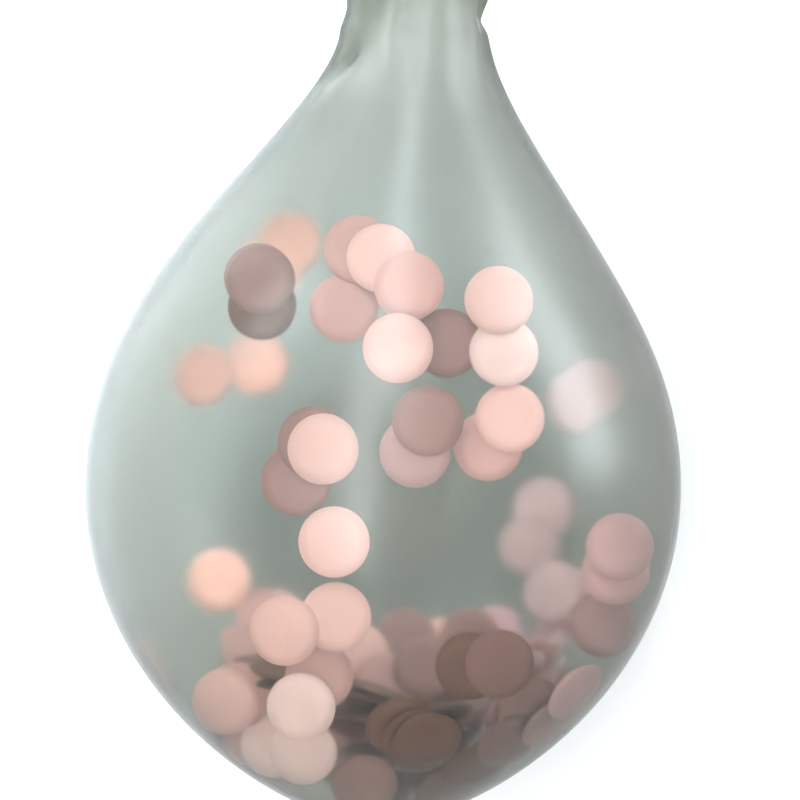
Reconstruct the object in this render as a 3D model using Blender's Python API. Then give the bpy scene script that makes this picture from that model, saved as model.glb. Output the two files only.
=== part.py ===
"""Confetti balloon: a part-filled latex balloon that lies on its side, its neck towards +Y.

Metres, +Z up. The origin is under the middle of the balloon, on the surface that it lies on.
The balloon is sealed, so it is one closed solid with the outer shape of its skin. That shape is
a row of rings along the balloon, from the crown at the round end to the mouth of the tail.
"""

from collections import namedtuple
from math import cos, exp, pi, radians, sin

import bmesh
import bpy

# Body, from the crown to the foot of the neck.
BODY_WIDTH = 0.226
ROUND_END_LENGTH = 0.128
SHOULDER_LENGTH = 0.172
# At a power of 1 the round end would be a plain ellipse. More draws its tip out.
CROWN_POWER = 1.274
SHOULDER_ROUND_POWER = 2.1
SHOULDER_HOLLOW_POWER = 1.6

# Neck, and the gather where it is drawn together at the knot.
NECK_WIDTH = 0.057
NECK_LENGTH = 0.022
NECK_WAIST_DEPTH = 0.0021
GATHER_LENGTH = 0.034
GATHER_ROUND_POWER = 1.8
GATHER_HOLLOW_POWER = 1.5
NECK_LEAN = 0.0093
LEAN_START_SHARE = 0.42

# Knot, and the slack tail with its rolled lip.
KNOT_WIDTH = 0.020
KNOT_LENGTH = 0.015
KNOT_WAIST_WIDTH = 0.011
KNOT_TWIST_SHARE = 0.12
TAIL_LENGTH = 0.014
TAIL_FLATNESS_SHARE = 0.3
LIP_WIDTH = 0.024
LIP_BEAD = 0.0028
LIP_ANGLE = radians(225)
MOUTH_DEPTH = 0.007
MOUTH_END_WIDTH = 0.006

# Pleats that run from the knot down the neck and fade out on the shoulder.
PLEAT_COUNT = 11
PLEAT_DEPTH = 0.0006
PLEAT_REACH = 0.085
PLEAT_SWAY_ANGLE = radians(52)

# Crumple in the left of the neck's foot, and the fold in its right side. A higher power makes a
# flatter floor and steeper walls.
CRUMPLE_DEPTH = 0.0042
CRUMPLE_WIDTH = 0.014
CRUMPLE_LENGTH = 0.016
CRUMPLE_POWER = 1.2
CRUMPLE_ANGLE = radians(146)
CRUMPLE_BELOW_NECK = 0.009
FOLD_DEPTH = 0.0030
FOLD_WIDTH = 0.026
FOLD_LENGTH = 0.010
FOLD_POWER = 0.75
FOLD_ANGLE = radians(5)
FOLD_ABOVE_NECK = 0.006

# Flat spot on the underside.
FLAT_SPOT_WIDTH = 0.052

# Fineness of the faces.
SEGMENTS = 64
ROUND_END_RINGS = 15
SHOULDER_RINGS = 30
NECK_RINGS = 7
GATHER_RINGS = 8
KNOT_RINGS = 6
TAIL_RINGS = 3
BEAD_RINGS = 5
SHARP_EDGE_ANGLE = radians(40)
CUT_TOLERANCE = 1e-7

# Latex finish.
LATEX_COLOUR = (0.62, 0.70, 0.65, 0.55)
LATEX_ROUGHNESS = 0.4

# Radii, and distances from the crown, that follow from the sizes above.
BODY_RADIUS = BODY_WIDTH / 2
NECK_RADIUS = NECK_WIDTH / 2
KNOT_RADIUS = KNOT_WIDTH / 2
KNOT_WAIST_RADIUS = KNOT_WAIST_WIDTH / 2
BEAD_RADIUS = LIP_BEAD / 2
LIP_RADIUS = LIP_WIDTH / 2 - BEAD_RADIUS
NECK_START = ROUND_END_LENGTH + SHOULDER_LENGTH
GATHER_START = NECK_START + NECK_LENGTH
KNOT_START = GATHER_START + GATHER_LENGTH
TAIL_START = KNOT_START + KNOT_LENGTH
LIP_CENTRE = TAIL_START + TAIL_LENGTH
WHOLE_LENGTH = LIP_CENTRE + BEAD_RADIUS
AXIS_HEIGHT = (BODY_RADIUS**2 - (FLAT_SPOT_WIDTH / 2) ** 2) ** 0.5

Dent = namedtuple("Dent", "along length width depth power turn")
DENTS = (
    Dent(
        along=NECK_START - CRUMPLE_BELOW_NECK,
        length=CRUMPLE_LENGTH,
        width=CRUMPLE_WIDTH,
        depth=CRUMPLE_DEPTH,
        power=CRUMPLE_POWER,
        turn=CRUMPLE_ANGLE,
    ),
    Dent(
        along=NECK_START + FOLD_ABOVE_NECK,
        length=FOLD_LENGTH,
        width=FOLD_WIDTH,
        depth=FOLD_DEPTH,
        power=FOLD_POWER,
        turn=FOLD_ANGLE,
    ),
)


def ease(share):
    """Smooth step from 0 to 1."""
    share = min(max(share, 0.0), 1.0)
    return share * share * (3 - 2 * share)


def shares(count):
    """Even shares of a stretch, without its start and with its end."""
    return [step / count for step in range(1, count + 1)]


def round_end_rings():
    """From the crown to the widest place: an ellipse whose tip is a little drawn out."""
    for share in shares(ROUND_END_RINGS):
        turn = share * pi / 2
        yield ROUND_END_LENGTH * (1 - cos(turn)), BODY_RADIUS * sin(turn) ** CROWN_POWER


def shoulder_rings():
    """From the widest place to the neck: round at first, then hollow."""
    for share in shares(SHOULDER_RINGS):
        swell = (1 - share**SHOULDER_ROUND_POWER) ** SHOULDER_HOLLOW_POWER
        radius = NECK_RADIUS + (BODY_RADIUS - NECK_RADIUS) * swell
        yield ROUND_END_LENGTH + SHOULDER_LENGTH * share, radius


def neck_rings():
    """The slack neck, with a soft waist."""
    for share in shares(NECK_RINGS):
        radius = NECK_RADIUS - NECK_WAIST_DEPTH * sin(pi * share) ** 2
        yield NECK_START + NECK_LENGTH * share, radius


def gather_rings():
    """The neck drawn together to the knot, round at first and then straighter."""
    for share in shares(GATHER_RINGS):
        swell = (1 - share**GATHER_ROUND_POWER) ** GATHER_HOLLOW_POWER
        radius = KNOT_WAIST_RADIUS + (NECK_RADIUS - KNOT_WAIST_RADIUS) * swell
        yield GATHER_START + GATHER_LENGTH * share, radius


def knot_rings():
    """The tight roll of the knot, between its two waists."""
    for share in shares(KNOT_RINGS):
        swell = sin(pi * share) ** 2
        radius = KNOT_WAIST_RADIUS + (KNOT_RADIUS - KNOT_WAIST_RADIUS) * swell
        yield KNOT_START + KNOT_LENGTH * share, radius


def tail_rings():
    """The trumpet of slack latex outside the knot."""
    for share in shares(TAIL_RINGS):
        along = TAIL_START + (TAIL_LENGTH - BEAD_RADIUS) * share
        yield along, KNOT_WAIST_RADIUS + (LIP_RADIUS - KNOT_WAIST_RADIUS) * ease(share)


def lip_and_mouth_rings():
    """Over the rolled bead of the lip, then down inside the mouth."""
    for share in shares(BEAD_RINGS):
        turn = LIP_ANGLE * share
        yield LIP_CENTRE - BEAD_RADIUS * cos(turn), LIP_RADIUS + BEAD_RADIUS * sin(turn)
    yield LIP_CENTRE - MOUTH_DEPTH, MOUTH_END_WIDTH / 2


def pleat(along, radius, turn):
    """Height of the pleats at a place on the skin."""
    start = GATHER_START - PLEAT_REACH
    rise = ease((along - start) / PLEAT_REACH)
    fall = 1 - ease((along - GATHER_START) / GATHER_LENGTH)
    wave = sin(PLEAT_COUNT * turn + PLEAT_SWAY_ANGLE * sin(2 * turn))
    return PLEAT_DEPTH * rise * fall * wave * min(1.0, radius / NECK_RADIUS)


def dent(along, radius, turn, form):
    """Depth of one dent: its length lies along the balloon and its width round it."""
    off_turn = (turn - form.turn + pi) % (2 * pi) - pi
    along_share = (along - form.along) / (form.length / 2)
    round_share = off_turn * radius / (form.width / 2)
    return form.depth * exp(-((along_share**2 + round_share**2) ** form.power))


def twist(along, turn):
    """Share by which the knot's roll stands out on one side and in on the other, as it turns."""
    share = (along - KNOT_START) / KNOT_LENGTH
    if not 0 < share < 1:
        return 0.0
    return KNOT_TWIST_SHARE * sin(pi * share) * cos(turn - 2 * pi * share)


def lean(along):
    """How far the neck leans to the right of the body's axis."""
    start = ROUND_END_LENGTH + SHOULDER_LENGTH * LEAN_START_SHARE
    return NECK_LEAN * ease((along - start) / (GATHER_START - start))


def ring_points(along, radius):
    """One ring of points of the skin."""
    flatness = TAIL_FLATNESS_SHARE * ease((along - TAIL_START) / TAIL_LENGTH)
    points = []
    for step in range(SEGMENTS):
        turn = 2 * pi * step / SEGMENTS
        reach = radius * (1 + twist(along, turn)) + pleat(along, radius, turn)
        reach -= sum(dent(along, radius, turn, form) for form in DENTS)
        across = lean(along) + reach * cos(turn)
        up = AXIS_HEIGHT + reach * sin(turn) * (1 - flatness)
        points.append((across, along - WHOLE_LENGTH / 2, up))
    return points


def join_rings(bm, near, far):
    """A band of faces from one ring to the next."""
    for step in range(SEGMENTS):
        after = (step + 1) % SEGMENTS
        bm.faces.new((near[step], far[step], far[after], near[after]))


def close_end(bm, ring, along):
    """A fan of faces from a ring to a point on the axis."""
    tip = bm.verts.new((lean(along), along - WHOLE_LENGTH / 2, AXIS_HEIGHT))
    for step in range(SEGMENTS):
        bm.faces.new((ring[step], ring[(step + 1) % SEGMENTS], tip))


def cut_flat_spot(bm):
    """Cut the underside flat where the balloon lies, and close the cut."""
    geometry = bm.verts[:] + bm.edges[:] + bm.faces[:]
    ground = {"plane_co": (0, 0, 0), "plane_no": (0, 0, -1)}
    bmesh.ops.bisect_plane(bm, geom=geometry, dist=CUT_TOLERANCE, clear_outer=True, **ground)
    rim = [edge for edge in bm.edges if edge.is_boundary]
    bmesh.ops.edgeloop_fill(bm, edges=rim)


def latex_material():
    material = bpy.data.materials.new("latex")
    material.use_nodes = True
    shader = material.node_tree.nodes["Principled BSDF"]
    shader.inputs["Base Color"].default_value = LATEX_COLOUR
    shader.inputs["Alpha"].default_value = LATEX_COLOUR[3]
    shader.inputs["Roughness"].default_value = LATEX_ROUGHNESS
    material.diffuse_color = LATEX_COLOUR
    return material


def make_balloon():
    stretches = (
        round_end_rings,
        shoulder_rings,
        neck_rings,
        gather_rings,
        knot_rings,
        tail_rings,
        lip_and_mouth_rings,
    )
    bm = bmesh.new()
    rings = []
    for stretch in stretches:
        for along, radius in stretch():
            rings.append([bm.verts.new(point) for point in ring_points(along, radius)])
    for near, far in zip(rings, rings[1:]):
        join_rings(bm, near, far)
    close_end(bm, rings[0], 0.0)
    close_end(bm, rings[-1], LIP_CENTRE - MOUTH_DEPTH)
    cut_flat_spot(bm)
    bmesh.ops.recalc_face_normals(bm, faces=bm.faces[:])

    mesh = bpy.data.meshes.new("balloon")
    bm.to_mesh(mesh)
    bm.free()
    mesh.materials.append(latex_material())
    mesh.shade_smooth()
    mesh.set_sharp_from_angle(angle=SHARP_EDGE_ANGLE)
    balloon = bpy.data.objects.new("balloon", mesh)
    bpy.context.collection.objects.link(balloon)
    return balloon


def main():
    for old in list(bpy.data.objects):
        bpy.data.objects.remove(old)
    make_balloon()


main()
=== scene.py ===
"""Confetti balloon, the looks: a frosted latex skin and the paper discs that cling inside it.

The balloon lies on its side along Y with its neck towards +Y, and the camera looks straight down on it.
The skin is one closed shell made by a node tree from the same sizes as the solid that it replaces. The
discs that the photograph shows singly are placed where a camera ray through their middle meets the near or
the far wall of the skin. The others cling to the round end or lie in the heap there, by a seeded rule.
"""

from collections import namedtuple
from math import cos, pi, radians, sin
from random import Random

import bpy
from mathutils import Matrix, Quaternion, Vector
from mathutils.bvhtree import BVHTree


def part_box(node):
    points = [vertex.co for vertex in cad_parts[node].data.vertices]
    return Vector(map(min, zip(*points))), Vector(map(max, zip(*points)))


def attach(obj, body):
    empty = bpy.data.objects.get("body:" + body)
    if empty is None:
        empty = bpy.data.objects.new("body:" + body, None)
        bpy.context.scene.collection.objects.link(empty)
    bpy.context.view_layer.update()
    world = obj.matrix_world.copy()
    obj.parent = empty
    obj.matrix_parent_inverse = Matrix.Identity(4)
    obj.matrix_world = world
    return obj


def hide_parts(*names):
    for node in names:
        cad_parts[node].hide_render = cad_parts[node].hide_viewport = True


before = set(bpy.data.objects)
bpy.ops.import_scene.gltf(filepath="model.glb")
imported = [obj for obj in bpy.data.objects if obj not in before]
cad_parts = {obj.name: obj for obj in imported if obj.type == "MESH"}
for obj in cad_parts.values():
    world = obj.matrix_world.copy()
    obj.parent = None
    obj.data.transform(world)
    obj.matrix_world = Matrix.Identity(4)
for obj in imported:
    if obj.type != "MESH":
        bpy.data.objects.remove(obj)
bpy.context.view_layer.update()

# Sizes that the frame gives.
LOW, HIGH = (Vector(corner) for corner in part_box("balloon"))
BODY_RADIUS = (HIGH.x - LOW.x) / 2
AXIS_HEIGHT = HIGH.z - BODY_RADIUS
WHOLE_LENGTH = HIGH.y - LOW.y
CROWN_Y = LOW.y

# Body, from the crown to the foot of the neck.
ROUND_END_LENGTH = 0.128
SHOULDER_LENGTH = 0.172
CROWN_POWER = 1.274
SHOULDER_ROUND_POWER = 2.1
SHOULDER_HOLLOW_POWER = 1.6

# Neck, gather, knot, tail and lip.
NECK_WIDTH = 0.057
NECK_LENGTH = 0.022
NECK_WAIST_DEPTH = 0.0021
GATHER_LENGTH = 0.034
GATHER_ROUND_POWER = 1.8
GATHER_HOLLOW_POWER = 1.5
NECK_LEAN = 0.0093
LEAN_START_SHARE = 0.42
KNOT_WIDTH = 0.020
KNOT_LENGTH = 0.015
KNOT_WAIST_WIDTH = 0.011
KNOT_TWIST_SHARE = 0.12
TAIL_FLATNESS_SHARE = 0.3
LIP_WIDTH = 0.024
LIP_BEAD = 0.0028
LIP_ANGLE = radians(225)
MOUTH_DEPTH = 0.010
MOUTH_END_WIDTH = 0.006

# Pleats, and the crumple and fold of the neck.
PLEAT_COUNT = 11
PLEAT_DEPTH = 0.0006
PLEAT_REACH = 0.085
PLEAT_SWAY_ANGLE = radians(52)
Dent = namedtuple("Dent", "along length width depth power turn")
CRUMPLE = Dent(along=-0.009, length=0.016, width=0.014, depth=0.0042, power=1.2, turn=radians(146))
FOLD = Dent(along=0.006, length=0.010, width=0.026, depth=0.0030, power=0.75, turn=radians(5))

# The latex wall, with the share by which it is thicker where it is slack, in the valleys of the pleats, in
# the crumple and in a tuck above it, and thinner on the ledge below it. The extra thickness in the pleat
# valleys and the crumple darkens the tint there: painted shade in these creases.
WALL = 0.00006
SLACK_THICKENING = 0.42
PLEAT_SHADE_THICKENING = 0.18
CRUMPLE_SHADE_THICKENING = 1.2
TUCK = Dent(along=0.022, length=0.028, width=0.026, depth=1.8, power=0.75, turn=radians(126))
LEDGE = Dent(along=-0.016, length=0.022, width=0.028, depth=-0.75, power=1.0, turn=radians(134))

# The soft edge of the flat spot, where the hollow skin ends inside the knot, and the fineness of the skin:
# its segments round the axis, and the rings of each stretch along it.
FLAT_SPOT_SOFTNESS = 0.0012
TIP_LENGTH = 0.004
WELD_DISTANCE = 0.000002
SEGMENTS = 192
ROUND_END_RINGS = 44
SHOULDER_RINGS = 80
NECK_RINGS = 22
GATHER_RINGS = 30
TIP_RINGS = 6
KNOT_FACE_RINGS = 2
KNOT_RINGS = 18
TAIL_RINGS = 12
LIP_RINGS = 10
MOUTH_RINGS = 8
MOUTH_FLOOR_RINGS = 1

# Distances from the crown that follow.
NECK_START = ROUND_END_LENGTH + SHOULDER_LENGTH
GATHER_START = NECK_START + NECK_LENGTH
KNOT_START = GATHER_START + GATHER_LENGTH
TAIL_START = KNOT_START + KNOT_LENGTH
BEAD_RADIUS = LIP_BEAD / 2
LIP_RADIUS = LIP_WIDTH / 2 - BEAD_RADIUS
LIP_CENTRE = WHOLE_LENGTH - BEAD_RADIUS
TAIL_LENGTH = LIP_CENTRE - TAIL_START

# Finishes.
FROST_COLOUR = (0.955, 0.97, 0.962)
MILKY_COLOUR = (0.87, 0.865, 0.845)
SLACK_COLOUR = (0.105, 0.115, 0.098)
BODY_TINT = (0.600, 0.607, 0.560)
BODY_DENSITY = 15000.0
LATEX_IOR = 1.1
LATEX_CLEARNESS = 0.99
LATEX_ROUGHNESS = 0.21
SLACK_CLEARNESS = 0.25
SLACK_ROUGHNESS = 0.42
COAT_WEIGHT = 0.15
COAT_ROUGHNESS = 0.32
COAT_IOR = 2.0
CROWN_MILKINESS = 0.5
SLACK_REACH = 0.10
CROWN_SPOT = 0.012
STREAK_LENGTHS = 3.0
BROAD_STREAKS = 2.2
BROAD_DARKENING = 0.05
BROAD_ROUGHENING = 0.03
BROAD_HEIGHT = 0.7
FINE_STREAKS = 9.0
FINE_DARKENING = 0.03
FINE_ROUGHENING = 0.02
FINE_HEIGHT = 0.3
LATEX_BUMP = 0.1
LATEX_BUMP_HEIGHT = 0.0006
PAPER_CLOUDS = 90.0
PAPER_CLOUD_SHADE = 0.94
PAPER_FIBRES = 900.0
FIBRE_DARKENING = 0.03
PAPER_BUMP = 0.2
PAPER_BUMP_HEIGHT = 0.0002
PAPER_ROUGHNESS = 0.7
PAPER_SHEEN = 0.1
FLOOR_COLOUR = (0.38, 0.38, 0.38)
FLOOR_CLOUDS = 3.0
FLOOR_SHADE = 0.985
FLOOR_ROUGHNESS = 0.6
FLOOR_REACH = 4.0
FLOOR_GAP = 0.0003

# The camera's view in the photograph's frame.
PICTURE = 800
PIXELS_PER_METRE = 2628
CAMERA_ABOVE_AXIS = 1.30
SENSOR = 36
CROWN_PIXEL_Y = 825
AXIS_PIXEL_X = 385
AXIS_LEAN = radians(1.2)

# Confetti.
DISC_RADIUS = 0.0125
DISC_THICKNESS = 0.00016
DISC_SIDES = 30
DISC_FILL_RINGS = 3
DISC_CLEARANCE = 0.0002
DISC_GAP = 0.0004
NEAR_BY = 3.2 * DISC_RADIUS
DISC_CURL = 3.0
SLIDE_STEPS = 200
SLIDE_FINENESS = 0.00002
FACE_STRIPS = 12
EDGE_ON = 0.05
MEETING_STEPS = 3
INNER_SAMPLES = 6
RIM_SAMPLES = 16
CONFETTI_SEED = 7
TONE_SPREAD = 0.10

# The discs that cling to the skin of the round end.
PILE_COUNT = 330
PILE_JITTER = 0.4
GOLDEN_ANGLE = pi * (3 - 5**0.5)
PILE_REACH = 0.78
PILE_FAR_REACH = 0.12
PILE_SIDE_REACH = 0.12
PILE_TURN = 0.3
PILE_TILT = 0.06
PILE_FACING = 0.4
PILE_DEPTH = 0.028

# The discs that lie inside the round end.
HEAP_COUNT = 130
HEAP_SPAN = (0.008, 0.044)
HEAP_CLEARANCE = 0.002
HEAP_TILT = 0.3
HEAP_DEPTH = 0.02


class Figure:
    """A number inside a node tree, so that a formula made of nodes reads as plain arithmetic."""

    def __init__(self, tree, socket):
        self.tree = tree
        self.socket = socket

    def work(self, operation, *others, clamp=False):
        sums = self.tree.nodes.new("ShaderNodeMath")
        sums.operation = operation
        sums.use_clamp = clamp
        for place, value in zip(sums.inputs, (self, *others)):
            feed(self.tree, place, value)
        return Figure(self.tree, sums.outputs[0])

    def __add__(self, other):
        return self.work("ADD", other)

    def __sub__(self, other):
        return self.work("SUBTRACT", other)

    def __mul__(self, other):
        return self.work("MULTIPLY", other)

    def __truediv__(self, other):
        return self.work("DIVIDE", other)

    def __pow__(self, other):
        return self.work("POWER", other)

    def __rsub__(self, other):
        return self * -1 + other

    __radd__ = __add__
    __rmul__ = __mul__

    def cos(self):
        return self.work("COSINE")

    def sin(self):
        return self.work("SINE")

    def clamped(self):
        return self.work("ADD", 0.0, clamp=True)

    def ease(self):
        """Smooth step from 0 to 1."""
        share = self.clamped()
        return share * share * (3 - 2 * share)


def feed(tree, socket, value):
    """Give an input its value, or link it to a figure or a socket."""
    if isinstance(value, Figure):
        tree.links.new(value.socket, socket)
    elif isinstance(value, bpy.types.NodeSocket):
        tree.links.new(value, socket)
    elif socket.type == "RGBA":
        socket.default_value = (*value, 1)
    else:
        socket.default_value = value


def add(tree, kind, inputs=(), **settings):
    """A new node with its settings made, then its inputs fed by name or place."""
    made = tree.nodes.new(kind)
    for name, value in settings.items():
        setattr(made, name, value)
    for place, value in dict(inputs).items():
        feed(tree, made.inputs[place], value)
    return made


def split(tree, vector):
    """The three figures of a vector."""
    return [Figure(tree, part) for part in add(tree, "ShaderNodeSeparateXYZ", {0: vector}).outputs]


def join(tree, x, y, z):
    """A vector from three figures."""
    return add(tree, "ShaderNodeCombineXYZ", {0: x, 1: y, 2: z}).outputs[0]


def new_tree(name, kind, inputs, outputs):
    """A node group with named sockets. Returns the tree, its inputs and its output node."""
    tree = bpy.data.node_groups.new(name, kind)
    for label, socket, value in inputs:
        made = tree.interface.new_socket(label, in_out="INPUT", socket_type=socket)
        if value is not None:
            made.default_value = value
    for label, socket in outputs:
        tree.interface.new_socket(label, in_out="OUTPUT", socket_type=socket)
    return tree, tree.nodes.new("NodeGroupInput").outputs, tree.nodes.new("NodeGroupOutput")


def keep_attribute(tree, geometry, name, kind, value):
    """The geometry with a named attribute on its points."""
    inputs = {"Geometry": geometry, "Name": name}
    made = add(tree, "GeometryNodeStoreNamedAttribute", inputs, data_type=kind, domain="POINT")
    feed(tree, made.inputs["Value"], value)
    return made.outputs[0]


# The skin, as sheets laid out flat and then rolled up.

def sheet(tree, rings, outline):
    """One stretch of the skin laid out flat: X is the turn, Y the distance from the crown, Z the radius."""
    counts = {"Vertices X": SEGMENTS + 1, "Vertices Y": rings + 1}
    grid = add(tree, "GeometryNodeMeshGrid", {"Size X": 1, "Size Y": 1, **counts})
    across, up, _ = split(tree, add(tree, "GeometryNodeInputPosition").outputs[0])
    turn = (0.5 - across) * (2 * pi)
    along, radius = outline((up + 0.5).clamped())
    place = join(tree, turn, along, radius)
    return add(tree, "GeometryNodeSetPosition", {"Geometry": grid.outputs[0], "Position": place}).outputs[0]


def between(share, first, last):
    return share * (last - first) + first


def round_end(share, body_radius):
    """From the crown to the widest place: an ellipse whose tip is a little drawn out."""
    turn = share * (pi / 2)
    return (1 - turn.cos()) * ROUND_END_LENGTH, turn.sin() ** CROWN_POWER * body_radius


def shoulder(share, body_radius, neck_radius):
    """From the widest place to the neck: round at first, then hollow."""
    swell = (1 - share**SHOULDER_ROUND_POWER) ** SHOULDER_HOLLOW_POWER
    return between(share, ROUND_END_LENGTH, NECK_START), swell * (body_radius - neck_radius) + neck_radius


def neck(share, neck_radius):
    """The slack neck, with a soft waist."""
    waist = (share * pi).sin() ** 2 * NECK_WAIST_DEPTH
    return between(share, NECK_START, GATHER_START), neck_radius - waist


def gather(share, neck_radius, end_radius):
    """The neck drawn together to the knot, round at first and then straighter."""
    swell = (1 - share**GATHER_ROUND_POWER) ** GATHER_HOLLOW_POWER
    return between(share, GATHER_START, KNOT_START), swell * (neck_radius - end_radius) + end_radius


def tip(share, start_radius):
    """Where the hollow skin closes, inside the knot."""
    return between(share, KNOT_START, KNOT_START + TIP_LENGTH), between(share, start_radius, 0.0)


def knot_face(share):
    """The closed face of the knot inside the gather."""
    return share * 0.0 + KNOT_START, between(share, 0.0, KNOT_WAIST_WIDTH / 2)


def knot(share):
    """The tight roll of the knot, between its two waists."""
    swell = (share * pi).sin() ** 2
    waist = KNOT_WAIST_WIDTH / 2
    return between(share, KNOT_START, TAIL_START), swell * (KNOT_WIDTH / 2 - waist) + waist


def tail(share):
    """The trumpet of slack latex outside the knot."""
    waist = KNOT_WAIST_WIDTH / 2
    return between(share, TAIL_START, LIP_CENTRE - BEAD_RADIUS), share.ease() * (LIP_RADIUS - waist) + waist


def lip(share):
    """The rolled bead of the lip."""
    turn = share * LIP_ANGLE
    return turn.cos() * -BEAD_RADIUS + LIP_CENTRE, turn.sin() * BEAD_RADIUS + LIP_RADIUS


def mouth(share):
    """Down inside the tail to where the knot closes it."""
    start = LIP_CENTRE - BEAD_RADIUS * cos(LIP_ANGLE)
    start_radius = LIP_RADIUS + BEAD_RADIUS * sin(LIP_ANGLE)
    end_radius = MOUTH_END_WIDTH / 2
    return between(share, start, LIP_CENTRE - MOUTH_DEPTH), between(share, start_radius, end_radius)


def mouth_floor(share):
    """The closed floor of the mouth."""
    return share * 0.0 + (LIP_CENTRE - MOUTH_DEPTH), between(share, MOUTH_END_WIDTH / 2, 0.0)


def dent(along, radius, turn, form):
    """Depth of one dent, placed from the foot of the neck, with its length along the balloon."""
    off_turn = (turn - (form.turn - pi)).work("FLOORED_MODULO", 2 * pi) - pi
    off_round = off_turn * radius / (form.width / 2)
    off_along = (along - (NECK_START + form.along)) / (form.length / 2)
    off = (off_round * off_round + off_along * off_along) ** form.power
    return (off * -1).work("EXPONENT") * form.depth


def pleats(along, turn):
    """The waves of the pleats, from -1 to 1: they run from the knot down and fade out on the shoulder."""
    rise = ((along - (GATHER_START - PLEAT_REACH)) / PLEAT_REACH).ease()
    fall = 1 - ((along - GATHER_START) / GATHER_LENGTH).ease()
    return rise * fall * (turn * PLEAT_COUNT + (turn * 2).sin() * PLEAT_SWAY_ANGLE).sin()


def roll_up(tree, flat):
    """Sheets rolled up into the balloon, with its pleats, dents, lean and flat spot."""
    turn, along, radius = split(tree, add(tree, "GeometryNodeInputPosition").outputs[0])
    pleat = pleats(along, turn) * (radius / (NECK_WIDTH / 2)).work("MINIMUM", 1.0) * PLEAT_DEPTH
    knot_share = ((along - KNOT_START) / KNOT_LENGTH).clamped()
    twist = (knot_share * pi).sin() * (turn - knot_share * (2 * pi)).cos() * KNOT_TWIST_SHARE
    lean_start = ROUND_END_LENGTH + SHOULDER_LENGTH * LEAN_START_SHARE
    lean = ((along - lean_start) / (GATHER_START - lean_start)).ease() * NECK_LEAN
    flatness = ((along - TAIL_START) / TAIL_LENGTH).ease() * TAIL_FLATNESS_SHARE

    dented = radius * (1 + twist) + pleat - dent(along, radius, turn, CRUMPLE)
    reach = dented - dent(along, radius, turn, FOLD)
    height = reach * turn.sin() * (1 - flatness) + AXIS_HEIGHT
    height = height.work("SMOOTH_MAX", 0.0, FLAT_SPOT_SOFTNESS)
    place = join(tree, lean + reach * turn.cos(), along + CROWN_Y, height)

    way = join(tree, turn.cos(), along, turn.sin())
    kept = keep_attribute(tree, flat, "skin_way", "FLOAT_VECTOR", way)
    rolled = add(tree, "GeometryNodeSetPosition", {"Geometry": kept, "Position": place})
    welded = {"Geometry": rolled.outputs[0], "Distance": WELD_DISTANCE}
    return add(tree, "GeometryNodeMergeByDistance", welded).outputs[0]


def slackness(along):
    """Where the skin isn't stretched: 0 on the body, 1 at the knot."""
    start = NECK_START - SLACK_REACH
    return ((along - start) / (KNOT_START - start)).ease()


def thickening(tree, way):
    """How many times thicker than the stretched wall the skin is."""
    across, along, up = split(tree, way)
    turn = up.work("ARCTAN2", across)
    neck_radius = NECK_WIDTH / 2
    # The crumple and the pleat valleys are made thicker, so the tint paints shade in these creases.
    crumple_shade = dent(along, neck_radius, turn, CRUMPLE._replace(depth=CRUMPLE_SHADE_THICKENING))
    tucked = dent(along, neck_radius, turn, TUCK)
    thinned = dent(along, neck_radius, turn, LEDGE)
    slack = 1 + slackness(along) * SLACK_THICKENING - pleats(along, turn) * PLEAT_SHADE_THICKENING
    return slack + crumple_shade + tucked + thinned


def skin_tree():
    """The tree of the hollow skin from the crown to the knot, with its outer and its inner side."""
    tree, sizes, result = new_tree(
        "balloon_skin",
        "GeometryNodeTree",
        [
            ("Body Radius", "NodeSocketFloat", BODY_RADIUS),
            ("Neck Radius", "NodeSocketFloat", NECK_WIDTH / 2),
            ("Wall", "NodeSocketFloat", WALL),
            ("Inner Side", "NodeSocketBool", True),
            ("Material", "NodeSocketMaterial", None),
        ],
        [("Geometry", "NodeSocketGeometry")],
    )
    body_radius = Figure(tree, sizes["Body Radius"])
    neck_radius = Figure(tree, sizes["Neck Radius"])
    waist = KNOT_WAIST_WIDTH / 2
    stretches = [
        sheet(tree, ROUND_END_RINGS, lambda share: round_end(share, body_radius)),
        sheet(tree, SHOULDER_RINGS, lambda share: shoulder(share, body_radius, neck_radius)),
        sheet(tree, NECK_RINGS, lambda share: neck(share, neck_radius)),
        sheet(tree, GATHER_RINGS, lambda share: gather(share, neck_radius, waist)),
        sheet(tree, TIP_RINGS, lambda share: tip(share, waist)),
    ]
    outer = roll_up(tree, joined(tree, stretches))
    way = add(tree, "GeometryNodeInputNamedAttribute", {"Name": "skin_way"}, data_type="FLOAT_VECTOR")
    wall = thickening(tree, way.outputs[0]) * Figure(tree, sizes["Wall"])
    normal = add(tree, "GeometryNodeInputNormal").outputs[0]
    inward = add(tree, "ShaderNodeVectorMath", {0: normal}, operation="SCALE")
    feed(tree, inward.inputs["Scale"], wall * -1)
    set_in = add(tree, "GeometryNodeSetPosition", {"Geometry": outer, "Offset": inward.outputs[0]})
    flipped = add(tree, "GeometryNodeFlipFaces", {"Mesh": set_in.outputs[0]})
    inner = add(tree, "GeometryNodeSwitch", {"Switch": sizes["Inner Side"], "True": flipped.outputs[0]})
    finish_tree(tree, joined(tree, [outer, inner.outputs[0]]), sizes["Material"], result)
    return tree


def knot_tree():
    """The tree of the knot and the slack tail beyond it."""
    tree, values, result = new_tree(
        "knot_and_tail",
        "GeometryNodeTree",
        [("Material", "NodeSocketMaterial", None)],
        [("Geometry", "NodeSocketGeometry")],
    )
    stretches = [
        sheet(tree, KNOT_FACE_RINGS, knot_face),
        sheet(tree, KNOT_RINGS, knot),
        sheet(tree, TAIL_RINGS, tail),
        sheet(tree, LIP_RINGS, lip),
        sheet(tree, MOUTH_RINGS, mouth),
        sheet(tree, MOUTH_FLOOR_RINGS, mouth_floor),
    ]
    finish_tree(tree, roll_up(tree, joined(tree, stretches)), values["Material"], result)
    return tree


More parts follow.
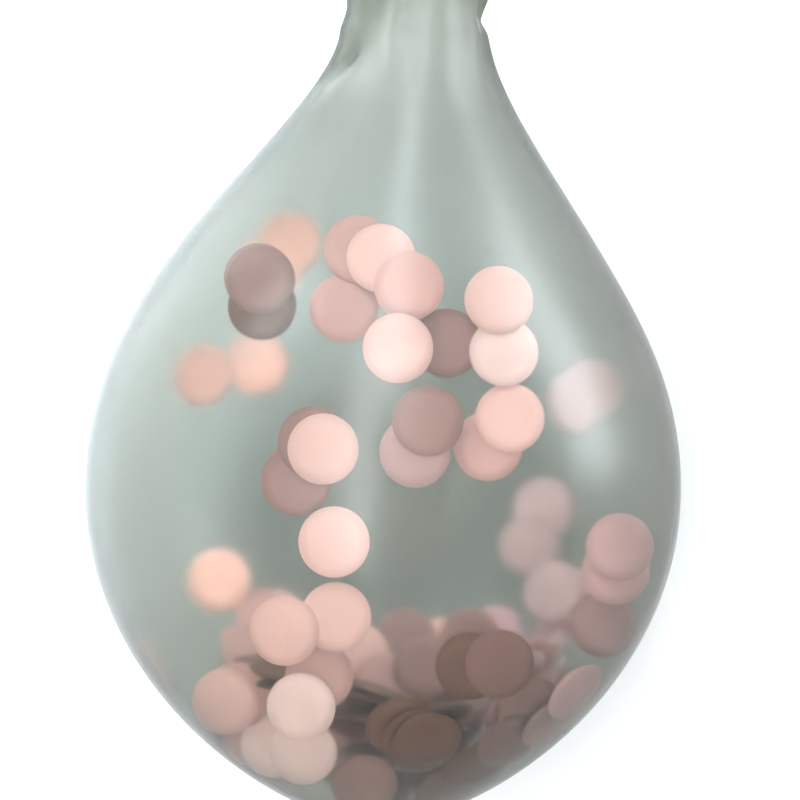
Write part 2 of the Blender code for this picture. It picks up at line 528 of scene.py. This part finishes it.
def joined(tree, parts):
    """Several geometries as one."""
    joint = tree.nodes.new("GeometryNodeJoinGeometry")
    for part in reversed(parts):
        tree.links.new(part, joint.inputs[0])
    return joint.outputs[0]


def finish_tree(tree, geometry, material, result):
    """Instances made real, shaded smooth and given their material."""
    real = add(tree, "GeometryNodeRealizeInstances", {"Geometry": geometry})
    smooth = add(tree, "GeometryNodeSetShadeSmooth", {"Geometry": real.outputs[0]})
    done = add(tree, "GeometryNodeSetMaterial", {"Geometry": smooth.outputs[0], "Material": material})
    tree.links.new(done.outputs[0], result.inputs[0])


def grow(name, tree, start_mesh, values):
    """A plain mesh object from a tree: the modifier's result is kept and the modifier is not."""
    holder = bpy.data.objects.new(name + "_tree", start_mesh)
    bpy.context.collection.objects.link(holder)
    modifier = holder.modifiers.new("grow", "NODES")
    modifier.node_group = tree
    for item in tree.interface.items_tree:
        if item.in_out == "INPUT" and item.name in values:
            modifier[item.identifier] = values[item.name]
    evaluated = holder.evaluated_get(bpy.context.evaluated_depsgraph_get())
    mesh = bpy.data.meshes.new_from_object(evaluated)
    mesh.name = name
    made = bpy.data.objects.new(name, mesh)
    bpy.context.collection.objects.link(made)
    bpy.data.objects.remove(holder)
    return made


# Materials.

def new_material(name):
    """A material, its tree and its shader."""
    material = bpy.data.materials.new(name)
    material.use_nodes = True
    return material, material.node_tree, material.node_tree.nodes["Principled BSDF"]


def mottling_group():
    """The group that keeps a finish from being even: soft noise, spread from a low to a high value."""
    tree, values, result = new_tree(
        "mottling",
        "ShaderNodeTree",
        [
            ("Place", "NodeSocketVector", None),
            ("Scale", "NodeSocketFloat", 1.0),
            ("Detail", "NodeSocketFloat", 2.0),
            ("Low", "NodeSocketFloat", 0.0),
            ("High", "NodeSocketFloat", 1.0),
        ],
        [("Value", "NodeSocketFloat")],
    )
    noise = add(
        tree,
        "ShaderNodeTexNoise",
        {"Vector": values["Place"], "Scale": values["Scale"], "Detail": values["Detail"]},
    )
    spread_out = add(
        tree,
        "ShaderNodeMapRange",
        {"Value": noise.outputs[0], 1: 0.25, 2: 0.75, 3: values["Low"], 4: values["High"]},
        interpolation_type="SMOOTHSTEP",
    )
    tree.links.new(spread_out.outputs[0], result.inputs[0])
    return tree


MOTTLING = mottling_group()


def mottling(tree, place, scale, low, high, detail=2.0):
    """One use of the mottling group, as a figure."""
    group = tree.nodes.new("ShaderNodeGroup")
    group.node_tree = MOTTLING
    values = {"Place": place, "Scale": scale, "Detail": detail, "Low": low, "High": high}
    for name, value in values.items():
        feed(tree, group.inputs[name], value)
    return Figure(tree, group.outputs[0])


def mixed(tree, share, first, second):
    """A colour between two others."""
    mix = tree.nodes.new("ShaderNodeMix")
    mix.data_type = "RGBA"
    for place, value in ((0, share), (6, first), (7, second)):
        feed(tree, mix.inputs[place], value)
    return mix.outputs[2]


def scaled(tree, colour, factor):
    """A colour times a figure."""
    product = tree.nodes.new("ShaderNodeVectorMath")
    product.operation = "SCALE"
    feed(tree, product.inputs[0], colour)
    feed(tree, product.inputs["Scale"], factor)
    return product.outputs[0]


def bumped(tree, shader, strength, distance, height):
    """Give a shader a fine relief."""
    bump = add(tree, "ShaderNodeBump", {"Strength": strength, "Distance": distance, "Height": height})
    feed(tree, shader.inputs["Normal"], bump.outputs[0])


def latex_surface(tree, shader, colour, roughness, gloss, way):
    """What all the latex has: its satin gloss, and faint streaks drawn out along the balloon."""
    one_way, along, other_way = split(tree, way)
    streak_place = join(tree, one_way, along * STREAK_LENGTHS, other_way)
    broad = mottling(tree, streak_place, BROAD_STREAKS, 0.0, 1.0, detail=1.0)
    fine = mottling(tree, streak_place, FINE_STREAKS, 0.0, 1.0)
    shade = 1 - broad * BROAD_DARKENING - fine * FINE_DARKENING
    feed(tree, shader.inputs["Base Color"], scaled(tree, colour, shade))
    feed(tree, shader.inputs["Roughness"], broad * BROAD_ROUGHENING + fine * FINE_ROUGHENING + roughness)
    bumped(tree, shader, LATEX_BUMP, LATEX_BUMP_HEIGHT, broad * BROAD_HEIGHT + fine * FINE_HEIGHT)
    feed(tree, shader.inputs["Coat Weight"], gloss)
    shader.inputs["Coat Roughness"].default_value = COAT_ROUGHNESS
    shader.inputs["Coat IOR"].default_value = COAT_IOR


def stretched_latex():
    """Blown-up latex: clear with a frosted face, and milkier at the slack neck and at the crown."""
    material, tree, shader = new_material("stretched_latex")
    way = add(tree, "ShaderNodeAttribute", attribute_name="skin_way").outputs["Vector"]
    along = split(tree, way)[1]
    slack = slackness(along)
    milky = slack.work("MAXIMUM", (1 - (along / CROWN_SPOT).clamped()) * CROWN_MILKINESS)
    colour = mixed(tree, milky, FROST_COLOUR, MILKY_COLOUR)
    latex_surface(tree, shader, colour, LATEX_ROUGHNESS, (1 - slack) * COAT_WEIGHT, way)
    shader.inputs["IOR"].default_value = LATEX_IOR
    shader.inputs["Transmission Weight"].default_value = LATEX_CLEARNESS
    body = add(tree, "ShaderNodeVolumeAbsorption", {"Color": BODY_TINT, "Density": BODY_DENSITY})
    feed(tree, tree.nodes["Material Output"].inputs["Volume"], body.outputs[0])
    return material


def slack_latex():
    """Latex that isn't blown up, at the knot and the tail: milky, and hardly clear."""
    material, tree, shader = new_material("slack_latex")
    way = add(tree, "ShaderNodeAttribute", attribute_name="skin_way").outputs["Vector"]
    latex_surface(tree, shader, SLACK_COLOUR, SLACK_ROUGHNESS, COAT_WEIGHT / 2, way)
    shader.inputs["Transmission Weight"].default_value = SLACK_CLEARNESS
    return material


def paper_material():
    """Tissue paper in the tone of each disc, with a faint cloudy fibre."""
    material, tree, shader = new_material("confetti_paper")
    tone = add(tree, "ShaderNodeAttribute", attribute_name="tone").outputs["Color"]
    place = add(tree, "ShaderNodeTexCoord").outputs["Object"]
    cloud = mottling(tree, place, PAPER_CLOUDS, PAPER_CLOUD_SHADE, 1.0, detail=1.0)
    fibre = mottling(tree, place, PAPER_FIBRES, 0.0, 1.0)
    feed(tree, shader.inputs["Base Color"], scaled(tree, tone, cloud - fibre * FIBRE_DARKENING))
    bumped(tree, shader, PAPER_BUMP, PAPER_BUMP_HEIGHT, fibre)
    shader.inputs["Roughness"].default_value = PAPER_ROUGHNESS
    shader.inputs["Sheen Weight"].default_value = PAPER_SHEEN
    return material


def floor_material():
    """Plain pale floor."""
    material, tree, shader = new_material("pale_floor")
    place = add(tree, "ShaderNodeTexCoord").outputs["Object"]
    shade = mottling(tree, place, FLOOR_CLOUDS, FLOOR_SHADE, 1.0, detail=3.0)
    feed(tree, shader.inputs["Base Color"], scaled(tree, FLOOR_COLOUR, shade))
    shader.inputs["Roughness"].default_value = FLOOR_ROUGHNESS
    return material


# Confetti.

# APRICOT_PAINTED_BACKLIGHT is the paper brightened and warmed: painted back light on far discs lit through
# the skin.
# MAUVE_PARTLY_PAINTED_SHADE is partly the paper's own pink and partly painted shade. DUSKY_PAINTED_SHADE,
# SEPIA_PAINTED_SHADE and UMBER_PAINTED_SHADE are painted
# Tones of the discs. PALE, PEACH, CREAM, BLUSH, ROSE and CORAL are tints of the paper itself.
# shade: dark discs that stand for paper in the shadow of other discs and deep in the pile.
PALE = (0.60, 0.40, 0.41)
APRICOT_PAINTED_BACKLIGHT = (0.96, 0.53, 0.46)
PEACH = (0.76, 0.44, 0.42)
CREAM = (0.92, 0.63, 0.62)
BLUSH = (0.54, 0.29, 0.28)
ROSE = (0.64, 0.36, 0.39)
MAUVE_PARTLY_PAINTED_SHADE = (0.40, 0.22, 0.22)
DUSKY_PAINTED_SHADE = (0.29, 0.145, 0.135)
UMBER_PAINTED_SHADE = (0.125, 0.045, 0.028)
CORAL = (0.65, 0.33, 0.31)
SEPIA_PAINTED_SHADE = (0.21, 0.095, 0.085)

Seen = namedtuple("Seen", "x y tone turned", defaults=(0.7,))
# A disc in the photograph: the pixel of its middle, its colour, which in the darker tones is painted shade
# and in the warm far tone painted back light, and how far it is turned from lying along the skin, 0, to
# facing the camera, 1.
Seen.__doc__ = """A disc in the photograph: the pixel of its middle, its tone, and how far it is turned from
lying along the skin, 0, to facing the camera, 1."""

# The pile's tones, and how much each counts from its left to its right: each row holds up to a place
# across.
# The darkest tones count most in the middle of the pile: painted shade where the pile is thick and little
# light gets in.
PILE_TONES_WITH_PAINTED_SHADE = (PALE, PEACH, BLUSH, ROSE, MAUVE_PARTLY_PAINTED_SHADE, DUSKY_PAINTED_SHADE, UMBER_PAINTED_SHADE)
PILE_PAINTED_SHADE_WEIGHTS = (
    (-0.020, (0, 2, 4, 0, 3, 1, 0)),
    (-0.006, (0, 0, 2, 0, 3, 4, 2)),
    (0.052, (0, 0, 0, 0, 0, 0, 1)),
    (BODY_RADIUS, (3, 0, 1, 4, 3, 0, 0)),
)

Disc = namedtuple("Disc", "middle turn tone")
# A disc in the balloon: its middle, its turn as a quaternion, and its colour, painted shade in the darker
# tones and painted back light in the warm far tone.
Disc.__doc__ = """A disc in the balloon: its middle, its turn as a quaternion, and its tone."""

# On the near wall, from the one in front to the one furthest behind. The dark tones among them are painted
# shade.
NEAR_DISCS = [
    Seen(x=398, y=348, tone=PEACH),
    Seen(x=409, y=286, tone=CORAL),
    Seen(x=381, y=258, tone=PEACH),
    Seen(x=358, y=249, tone=BLUSH),
    Seen(x=344, y=308, tone=BLUSH),
    Seen(x=499, y=300, tone=PEACH),
    Seen(x=504, y=352, tone=CREAM),
    Seen(x=447, y=343, tone=DUSKY_PAINTED_SHADE),
    Seen(x=428, y=421, tone=DUSKY_PAINTED_SHADE),
    Seen(x=415, y=452, tone=MAUVE_PARTLY_PAINTED_SHADE),
    Seen(x=510, y=418, tone=PEACH),
    Seen(x=488, y=446, tone=BLUSH),
    Seen(x=323, y=449, tone=PEACH),
    Seen(x=313, y=442, tone=DUSKY_PAINTED_SHADE),
    Seen(x=296, y=480, tone=DUSKY_PAINTED_SHADE),
    Seen(x=261, y=280, tone=DUSKY_PAINTED_SHADE),
    Seen(x=262, y=306, tone=UMBER_PAINTED_SHADE),
    Seen(x=258, y=277, tone=MAUVE_PARTLY_PAINTED_SHADE),
    Seen(x=334, y=542, tone=PEACH),
    Seen(x=284, y=631, tone=PEACH),
    Seen(x=336, y=617, tone=PEACH),
    Seen(x=301, y=707, tone=CREAM),
    Seen(x=225, y=702, tone=PEACH),
    Seen(x=238, y=695, tone=BLUSH),
    Seen(x=303, y=752, tone=CREAM),
    # This pale disc, turned to the camera, is partly painted highlight: it stands for a soft whitish
    # reflection.
    Seen(x=274, y=744, tone=CREAM, turned=0.9),
    Seen(x=256, y=735, tone=BLUSH, turned=0.8),
    Seen(x=319, y=676, tone=BLUSH),
    Seen(x=364, y=784, tone=DUSKY_PAINTED_SHADE, turned=0.5),
    Seen(x=620, y=547, tone=ROSE, turned=0.9),
    Seen(x=616, y=571, tone=ROSE, turned=0.9),
    Seen(x=603, y=624, tone=MAUVE_PARTLY_PAINTED_SHADE, turned=0.9),
    Seen(x=575, y=692, tone=ROSE, turned=0.1),
    Seen(x=550, y=722, tone=MAUVE_PARTLY_PAINTED_SHADE, turned=0.1),
    Seen(x=500, y=664, tone=SEPIA_PAINTED_SHADE),
    Seen(x=470, y=666, tone=UMBER_PAINTED_SHADE),
    Seen(x=508, y=742, tone=SEPIA_PAINTED_SHADE, turned=0.2),
    Seen(x=474, y=768, tone=UMBER_PAINTED_SHADE, turned=0.2),
    Seen(x=428, y=740, tone=UMBER_PAINTED_SHADE, turned=0.2),
    Seen(x=528, y=706, tone=DUSKY_PAINTED_SHADE, turned=0.2),
    Seen(x=447, y=790, tone=UMBER_PAINTED_SHADE, turned=0.2),
]

# On the far wall. The warm APRICOT_PAINTED_BACKLIGHT tone here is painted back light and the dusky tones
# painted shade.
FAR_DISCS = [
    Seen(x=290, y=243, tone=APRICOT_PAINTED_BACKLIGHT),
    Seen(x=272, y=266, tone=APRICOT_PAINTED_BACKLIGHT),
    Seen(x=257, y=364, tone=APRICOT_PAINTED_BACKLIGHT),
    Seen(x=203, y=375, tone=APRICOT_PAINTED_BACKLIGHT, turned=0.4),
    Seen(x=219, y=580, tone=APRICOT_PAINTED_BACKLIGHT),
    Seen(x=188, y=676, tone=PEACH),
    Seen(x=240, y=643, tone=BLUSH),
    Seen(x=591, y=391, tone=PALE),
    Seen(x=572, y=404, tone=PALE, turned=0.0),
    Seen(x=544, y=508, tone=PALE),
    Seen(x=530, y=545, tone=PALE),
    Seen(x=575, y=648, tone=PALE),
    Seen(x=562, y=670, tone=PALE),
    Seen(x=520, y=680, tone=BLUSH),
    Seen(x=590, y=600, tone=PALE),
    Seen(x=553, y=592, tone=PALE, turned=0.3),
    Seen(x=528, y=628, tone=PALE, turned=0.3),
    Seen(x=590, y=668, tone=ROSE, turned=0.3),
    Seen(x=548, y=627, tone=CREAM),
    Seen(x=562, y=668, tone=PEACH),
    Seen(x=440, y=650, tone=APRICOT_PAINTED_BACKLIGHT),
    Seen(x=405, y=640, tone=DUSKY_PAINTED_SHADE),
    Seen(x=358, y=655, tone=PEACH),
    Seen(x=385, y=685, tone=BLUSH),
    Seen(x=425, y=668, tone=DUSKY_PAINTED_SHADE),
    Seen(x=470, y=640, tone=DUSKY_PAINTED_SHADE),
]


def camera_frame():
    """The middle of the camera's view on the plane of the axis, and its right and up directions."""
    right = Vector((cos(AXIS_LEAN), sin(AXIS_LEAN), 0))
    up = Vector((-sin(AXIS_LEAN), cos(AXIS_LEAN), 0))
    below_middle = (CROWN_PIXEL_Y - PICTURE / 2) / PIXELS_PER_METRE
    middle = Vector((0, CROWN_Y + below_middle, AXIS_HEIGHT))
    middle += right * ((PICTURE / 2 - AXIS_PIXEL_X) / PIXELS_PER_METRE)
    return middle, right, up


def camera_eye():
    return camera_frame()[0] + Vector((0, 0, CAMERA_ABOVE_AXIS))


def pixel_ray(x, y):
    """Start and direction of the camera's ray through a pixel of the photograph."""
    middle, right, up = camera_frame()
    eye = camera_eye()
    across = (x - PICTURE / 2) / PIXELS_PER_METRE
    down = (y - PICTURE / 2) / PIXELS_PER_METRE
    return eye, (middle + right * across - up * down - eye).normalized()


def disc_samples():
    """Points over a disc in its own frame: its middle, a ring half way out and its rim."""
    samples = [Vector((0, 0, 0))]
    for radius, count in ((DISC_RADIUS / 2, INNER_SAMPLES), (DISC_RADIUS, RIM_SAMPLES)):
        for step in range(count):
            across = radius * cos(2 * pi * step / count)
            samples.append(Vector((across, radius * sin(2 * pi * step / count), -DISC_CURL * across**2)))
    return samples


SAMPLES = disc_samples()


def tilted(facing, amount, chance):
    """A facing turned aside at random."""
    aside = Vector((chance.uniform(-1, 1), chance.uniform(-1, 1), chance.uniform(-1, 1)))
    return (facing + aside * amount).normalized()


def spread(disc):
    """The sample points of a disc where it lies."""
    return [disc.middle + disc.turn @ sample for sample in SAMPLES]


def disc_face(disc):
    """A search tree of the disc's face, in strips across its curl, set off to both sides of the paper."""
    corners = []
    faces = []
    for side in (-DISC_CLEARANCE, DISC_CLEARANCE):
        for step in range(FACE_STRIPS + 1):
            across = DISC_RADIUS * cos(pi * step / FACE_STRIPS)
            reach = DISC_RADIUS * sin(pi * step / FACE_STRIPS)
            height = side - DISC_CURL * across**2
            for end in (-reach, reach):
                corners.append(disc.middle + disc.turn @ Vector((across, end, height)))
            if step > 0:
                last = len(corners) - 1
                faces.append((last - 3, last - 2, last, last - 1))
    return BVHTree.FromPolygons(corners, faces)


def gap_ahead(point, direction, disc):
    """How far ahead of a point a disc lies along a direction, or None where it isn't in the way."""
    back = disc.turn.inverted()
    start = back @ (point - disc.middle)
    step = back @ direction
    if abs(step.z) < EDGE_ON:
        return None
    gap = 0.0
    for _ in range(MEETING_STEPS):
        across = start.x + step.x * gap
        gap = -(start.z + DISC_CURL * across**2) / step.z
    return gap if (start + step * gap).xy.length < DISC_RADIUS else None


class Heap:
    """The discs laid so far. Each new one slides in until it clears the skin and the others."""

    def __init__(self, skin_mesh):
        corners = [vertex.co.copy() for vertex in skin_mesh.vertices]
        self.skin = BVHTree.FromPolygons(corners, [tuple(face.vertices) for face in skin_mesh.polygons])
        self.discs = []

    def wall(self, start, direction):
        """The first place on the skin that a ray meets, and the skin's outward normal there."""
        place, normal, _, _ = self.skin.ray_cast(start, direction)
        return place, normal

    def depth(self, point):
        """How far a point is inside the outer side of the skin."""
        place, normal, _, _ = self.skin.find_nearest(point)
        return (place - point).dot(normal)

    def lack_at_skin(self, disc):
        """How much deeper a disc has to lie to clear the inner side of the skin."""
        return WALL + DISC_CLEARANCE - min(self.depth(point) for point in spread(disc))

    def lack_at_discs(self, disc, direction):
        """How much further a disc has to slide to lie behind all those that it meets."""
        lack = 0.0
        for other in self.discs:
            if (other.middle - disc.middle).length > 2 * NEAR_BY:
                continue
            for point in spread(disc):
                gap = gap_ahead(point, direction, other)
                if gap is not None and gap < NEAR_BY:
                    lack = max(lack, gap + DISC_GAP)
            for point in spread(other):
                gap = gap_ahead(point, direction, disc)
                if gap is not None and gap > -NEAR_BY:
                    lack = max(lack, DISC_GAP - gap)
        return lack

    def crosses_others(self, disc):
        """Whether a disc cuts through another."""
        face = disc_face(disc)
        close = (other for other in self.discs if (other.middle - disc.middle).length < 2 * DISC_RADIUS)
        return any(face.overlap(disc_face(other)) for other in close)

    def lay(self, place, facing, spin, direction, tone, deepest=BODY_RADIUS):
        """Slide one disc from a place along a direction until it lies free, or leave it out."""
        turn = facing.to_track_quat("Z", "Y") @ Quaternion((0, 0, 1), spin)
        disc = Disc(place, turn, tone)
        for _ in range(SLIDE_STEPS):
            lack = self.lack_at_skin(disc)
            if lack <= 0:
                lack = self.lack_at_discs(disc, direction)
            if lack <= 0 and self.crosses_others(disc):
                lack = DISC_GAP
            if lack <= 0:
                self.discs.append(disc)
                return
            disc = disc._replace(middle=disc.middle + direction * max(lack, SLIDE_FINENESS))
            if (disc.middle - place).length > deepest:
                return


def lay_near_discs(heap, chance):
    """The discs that the photograph shows on the near wall."""
    for seen in NEAR_DISCS:
        eye, ray = pixel_ray(seen.x, seen.y)
        place, normal = heap.wall(eye, ray)
        facing = normal.lerp(-ray, seen.turned).normalized()
        heap.lay(place, facing, chance.uniform(0, pi), ray, seen.tone)


def lay_far_discs(heap, chance):
    """The discs that the photograph shows on the far wall."""
    for seen in FAR_DISCS:
        eye, ray = pixel_ray(seen.x, seen.y)
        place, normal = heap.wall(eye + ray * (2 * CAMERA_ABOVE_AXIS), -ray)
        facing = normal.lerp(ray, seen.turned).normalized()
        heap.lay(place, facing, chance.uniform(0, pi), -ray, seen.tone)


def lay_pile(heap, chance):
    """The discs that cling to the skin of the round end, spread evenly round the crown."""
    centre = Vector((0, CROWN_Y + ROUND_END_LENGTH, AXIS_HEIGHT))
    for step in range(PILE_COUNT):
        round_crown = step * GOLDEN_ANGLE + chance.uniform(-PILE_JITTER, PILE_JITTER)
        far_reach = PILE_FAR_REACH * max(0, -sin(round_crown))
        side_reach = PILE_SIDE_REACH * abs(cos(round_crown))
        reach = PILE_REACH + far_reach + side_reach
        off_crown = ((step + chance.random()) / PILE_COUNT) ** 0.5 * reach
        spread_out = sin(off_crown)
        out = Vector((spread_out * cos(round_crown), -cos(off_crown), spread_out * sin(round_crown)))
        place, normal = heap.wall(centre, out)
        view = Vector((0, 0, 1 if place.z > AXIS_HEIGHT else -1))
        facing = tilted(normal.lerp(view, PILE_TURN * abs(normal.z)), PILE_TILT, chance)
        ray = (place - camera_eye()).normalized()
        direction = ray if normal.z > PILE_FACING else -normal
        # Tones picked by place across: darkest in the middle of the pile, as painted shade.
        painted_shade_weights = next(painted_shade_weights for limit, painted_shade_weights in PILE_PAINTED_SHADE_WEIGHTS if place.x <= limit)
        tone = chance.choices(PILE_TONES_WITH_PAINTED_SHADE, painted_shade_weights)[0]
        heap.lay(place, facing, chance.uniform(0, pi), direction, tone, deepest=PILE_DEPTH)


def lay_heap(heap, chance):
    """The discs that lie flat on one another inside the round end."""
    for _ in range(HEAP_COUNT):
        middle = Vector((0, CROWN_Y + chance.uniform(*HEAP_SPAN), AXIS_HEIGHT))
        round_axis = chance.uniform(0, 2 * pi)
        out = Vector((cos(round_axis), 0, sin(round_axis)))
        place, _ = heap.wall(middle, out)
        room = (place - middle).length - DISC_RADIUS - HEAP_CLEARANCE
        if room > 0:
            start = middle + out * (room * chance.random() ** 0.5)
            facing = tilted(Vector((0, -1, 0)), HEAP_TILT, chance)
            heap.lay(start, facing, chance.uniform(0, pi), Vector((0, 1, 0)), UMBER_PAINTED_SHADE, deepest=HEAP_DEPTH)


def place_mesh(discs, chance):
    """A mesh of loose points, each with the turn and the tone of one disc."""
    mesh = bpy.data.meshes.new("confetti_places")
    mesh.from_pydata([disc.middle for disc in discs], [], [])
    mesh.attributes.new("turn", "QUATERNION", "POINT")
    mesh.attributes.new("tone", "FLOAT_COLOR", "POINT")
    turns = mesh.attributes["turn"].data
    tone_and_light_values = mesh.attributes["tone"].data
    for disc, turn, tone in zip(discs, turns, tone_and_light_values):
        shade = chance.uniform(1 - TONE_SPREAD, 1)
        turn.value = disc.turn
        tone.color = (*(part * shade for part in disc.tone), 1)
    return mesh


def confetti_tree():
    """The tree of the confetti: a thin disc, a little curled, on each point."""
    tree, values, result = new_tree(
        "confetti",
        "GeometryNodeTree",
        [
            ("Places", "NodeSocketGeometry", None),
            ("Radius", "NodeSocketFloat", DISC_RADIUS),
            ("Thickness", "NodeSocketFloat", DISC_THICKNESS),
            ("Sides", "NodeSocketInt", DISC_SIDES),
            ("Curl", "NodeSocketFloat", DISC_CURL),
            ("Material", "NodeSocketMaterial", None),
        ],
        [("Geometry", "NodeSocketGeometry")],
    )
    disc = add(
        tree,
        "GeometryNodeMeshCylinder",
        {
            "Vertices": values["Sides"],
            "Fill Segments": DISC_FILL_RINGS,
            "Radius": values["Radius"],
            "Depth": values["Thickness"],
        },
        fill_type="TRIANGLE_FAN",
    )
    across, _, _ = split(tree, add(tree, "GeometryNodeInputPosition").outputs[0])
    sag = across * across * Figure(tree, values["Curl"]) * -1
    offset = join(tree, 0.0, 0.0, sag)
    curled = add(tree, "GeometryNodeSetPosition", {"Geometry": disc.outputs["Mesh"], "Offset": offset})
    turn = add(tree, "GeometryNodeInputNamedAttribute", {"Name": "turn"}, data_type="QUATERNION")
    placed = add(
        tree,
        "GeometryNodeInstanceOnPoints",
        {"Points": values["Places"], "Instance": curled.outputs[0], "Rotation": turn.outputs[0]},
    )
    finish_tree(tree, placed.outputs[0], values["Material"], result)
    return tree


def make_confetti(guide, paper):
    chance = Random(CONFETTI_SEED)
    heap = Heap(guide.data)
    lay_near_discs(heap, chance)
    lay_pile(heap, chance)
    lay_far_discs(heap, chance)
    lay_heap(heap, chance)
    return grow("confetti", confetti_tree(), place_mesh(heap.discs, chance), {"Material": paper})


# Floor, light and camera.

def make_floor():
    mesh = bpy.data.meshes.new("floor")
    corners = [(x * FLOOR_REACH, y * FLOOR_REACH, 0) for x, y in ((-1, -1), (1, -1), (1, 1), (-1, 1))]
    mesh.from_pydata(corners, [], [(0, 1, 2, 3)])
    mesh.materials.append(floor_material())
    floor = bpy.data.objects.new("floor", mesh)
    floor.location.z = -FLOOR_GAP
    bpy.context.collection.objects.link(floor)


Lamp = namedtuple("Lamp", "name place target width height power colour mirrored", defaults=(True,))
Lamp.__doc__ = """A soft panel of light. One that isn't mirrored leaves no bright patch on the skin."""

MIDDLE = (0, 0, AXIS_HEIGHT)
WARM_WHITE = (1.0, 0.99, 0.97)
COOL_WHITE = (0.92, 0.96, 1.0)
PALE_BLUE = (0.88, 0.96, 1.0)
WINDOW_BLUE = (0.85, 0.94, 1.0)
SKY_BLUE = (0.78, 0.93, 1.0)
ROOM_COLOUR = (0.90, 0.93, 0.95)
ROOM_STRENGTH = 0.45

# Soft light from above, a window at the left, strips above, ahead and at the right that draw pale streaks
# down the skin, and two small panels that light the floor under its left rim.
LAMPS = [
    Lamp("overhead", (-0.2, -0.5, 1.9), MIDDLE, 2.6, 2.6, 95, WARM_WHITE, mirrored=False),
    Lamp("near_left", (-0.28, 0.30, 0.32), (-0.28, 0.30, 0), 0.25, 0.25, 9, SKY_BLUE, mirrored=False),
    Lamp("floor_left", (-0.27, 0.06, 0.10), (-0.27, 0.06, 0), 0.06, 0.5, 2.5, SKY_BLUE, mirrored=False),
    Lamp("strip_above", (-0.28, 0.4, 1.95), (-0.28, 0.4, 0), 0.22, 2.8, 58, COOL_WHITE),
    Lamp("window", (-1.4, 0.2, 0.5), MIDDLE, 2.0, 0.8, 8, WINDOW_BLUE),
    Lamp("strip_ahead", (0.08, 1.3, 1.0), MIDDLE, 0.10, 1.9, 30, PALE_BLUE),
    Lamp("low_right", (1.15, 0.6, 0.25), MIDDLE, 1.3, 0.5, 38, PALE_BLUE),
]


def make_lights():
    world = bpy.data.worlds.new("studio")
    world.use_nodes = True
    room = world.node_tree.nodes["Background"]
    feed(world.node_tree, room.inputs["Color"], ROOM_COLOUR)
    feed(world.node_tree, room.inputs["Strength"], ROOM_STRENGTH)
    bpy.context.scene.world = world
    for lamp in LAMPS:
        panel = bpy.data.lights.new(lamp.name, "AREA")
        panel.shape = "RECTANGLE"
        panel.size = lamp.width
        panel.size_y = lamp.height
        panel.energy = lamp.power
        panel.color = lamp.colour
        holder = bpy.data.objects.new(lamp.name, panel)
        holder.location = lamp.place
        aim = Vector(lamp.target) - Vector(lamp.place)
        holder.rotation_euler = aim.to_track_quat("-Z", "Y").to_euler()
        holder.visible_glossy = lamp.mirrored
        holder.visible_camera = False
        bpy.context.collection.objects.link(holder)


def make_camera():
    middle, right, up = camera_frame()
    camera = bpy.data.cameras.new("camera")
    camera.sensor_width = SENSOR
    camera.lens = PIXELS_PER_METRE * CAMERA_ABOVE_AXIS / PICTURE * SENSOR
    holder = bpy.data.objects.new("camera", camera)
    turn = Matrix((right, up, Vector((0, 0, 1)))).transposed()
    holder.matrix_world = Matrix.Translation(middle + Vector((0, 0, CAMERA_ABOVE_AXIS))) @ turn.to_4x4()
    bpy.context.collection.objects.link(holder)
    bpy.context.scene.camera = holder


make_camera()
make_floor()
make_lights()
bpy.context.scene.view_settings.view_transform = "Standard"

skin_maker = skin_tree()
nothing_yet = bpy.data.meshes.new("start")
skin = grow("balloon_skin", skin_maker, nothing_yet, {"Material": stretched_latex()})
knot_and_tail = grow("knot_and_tail", knot_tree(), nothing_yet, {"Material": slack_latex()})
guide = grow("skin_guide", skin_maker, nothing_yet, {"Inner Side": False})
confetti = make_confetti(guide, paper_material())
bpy.data.objects.remove(guide)

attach(skin, "root")
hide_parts("balloon")
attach(knot_and_tail, "root")
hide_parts("balloon")
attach(confetti, "root")
